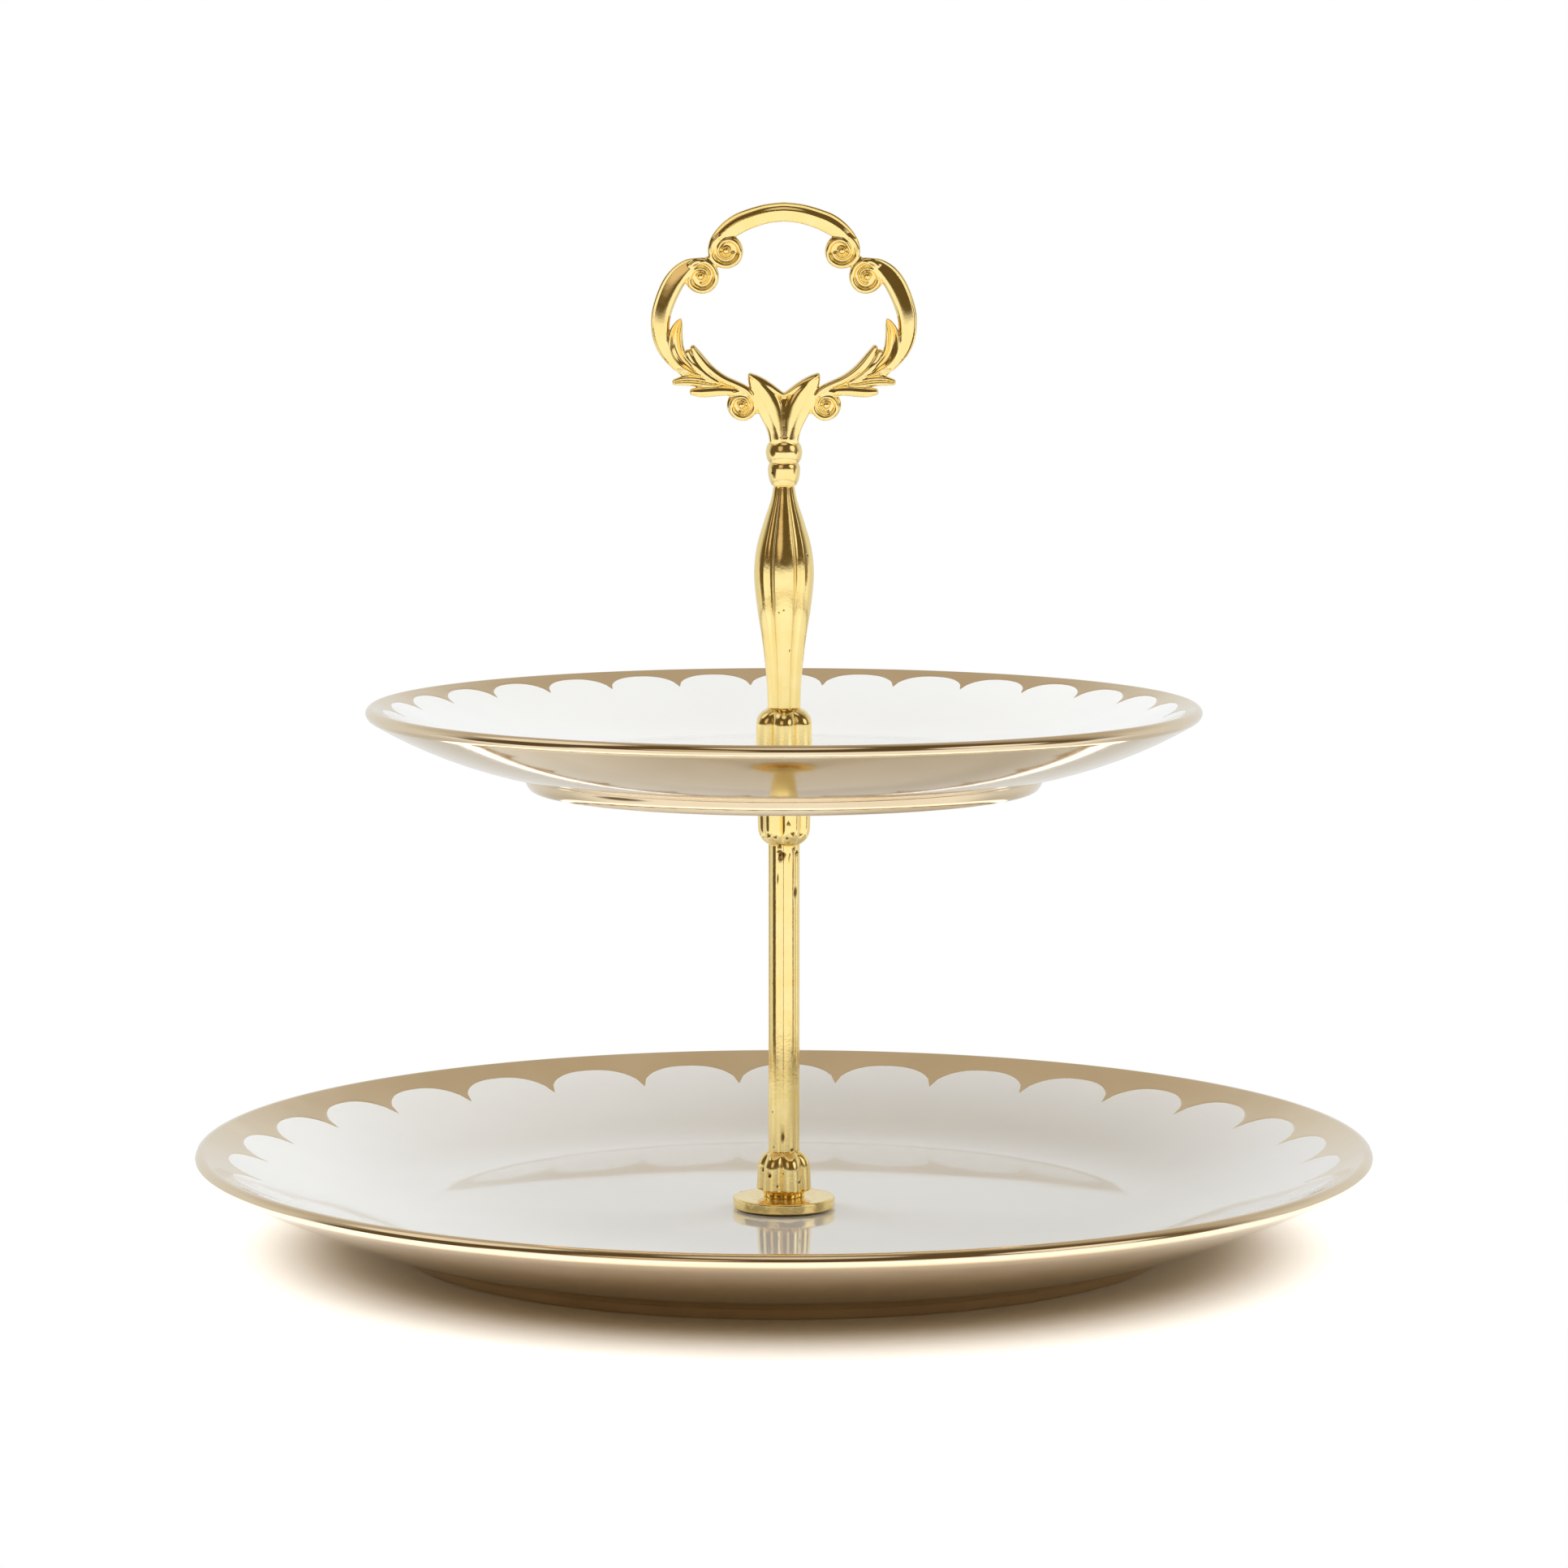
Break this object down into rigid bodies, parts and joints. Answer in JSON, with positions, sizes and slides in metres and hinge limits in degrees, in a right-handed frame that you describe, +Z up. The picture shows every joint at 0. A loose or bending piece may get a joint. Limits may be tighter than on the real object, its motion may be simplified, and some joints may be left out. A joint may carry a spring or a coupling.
{
  "type": "tiered cake stand",
  "caption": "Tiered cake stand: drilled porcelain plates with gold scalloped rims on a gold-plated column, clamped by a fluted handle with an openwork scroll crown.",
  "frame": {"origin": "on the stand's axis, at the table plane that the lower plate's foot ring stands on", "axes": "+Z up along the column; the handle's flat openwork crown lies in the XZ plane and faces -Y"},
  "size_m": [0.267, 0.267, 0.2354],
  "materials": {
    "porcelain": "glossy white glaze with gold lustre on the scalloped rim and the whole underside",
    "gold_metal": "polished gold plating on a zinc casting",
    "steel": "bright zinc-plated steel",
    "soft_washer": "soft white rubber"
  },
  "bodies": {
    "lower_tier": {"lower_plate": "porcelain", "lower_screw": "steel", "lower_screw_washer": "steel", "lower_plate_gasket_under": "soft_washer", "lower_plate_gasket_over": "soft_washer"},
    "disc": {"base_disc": "gold_metal"},
    "column": {"rod": "gold_metal", "upper_stud": "steel", "upper_plate_gasket_under": "soft_washer"},
    "upper_tier": {"upper_plate": "porcelain"},
    "handle_washer": {"upper_plate_gasket_over": "soft_washer"},
    "handle": {"handle": "gold_metal"}
  },
  "joints": [
    {"name": "column_turn", "type": "hinge", "parent": "lower_tier", "child": "disc", "pos_m": [0, 0, 0.0102], "axis": [0, 0, 1], "range_deg": [0, 2900]},
    {"name": "column_rise", "type": "slide", "parent": "disc", "child": "column", "axis": [0, 0, 1], "range_m": [0, 0.0064]},
    {"name": "upper_plate_turn", "type": "hinge", "parent": "column", "child": "upper_tier", "pos_m": [0, 0, 0.1066], "axis": [0, 0, 1], "continuous": true},
    {"name": "handle_turn", "type": "hinge", "parent": "column", "child": "handle_washer", "pos_m": [0, 0, 0.1101], "axis": [0, 0, 1], "range_deg": [0, 2900]},
    {"name": "handle_rise", "type": "slide", "parent": "handle_washer", "child": "handle", "axis": [0, 0, 1], "range_m": [0, 0.0064]}
  ],
  "couplings": [
    {"joint": "column_turn", "follows": "column_rise", "rad_per_m": 7854},
    {"joint": "handle_turn", "follows": "handle_rise", "rad_per_m": 7854}
  ]
}
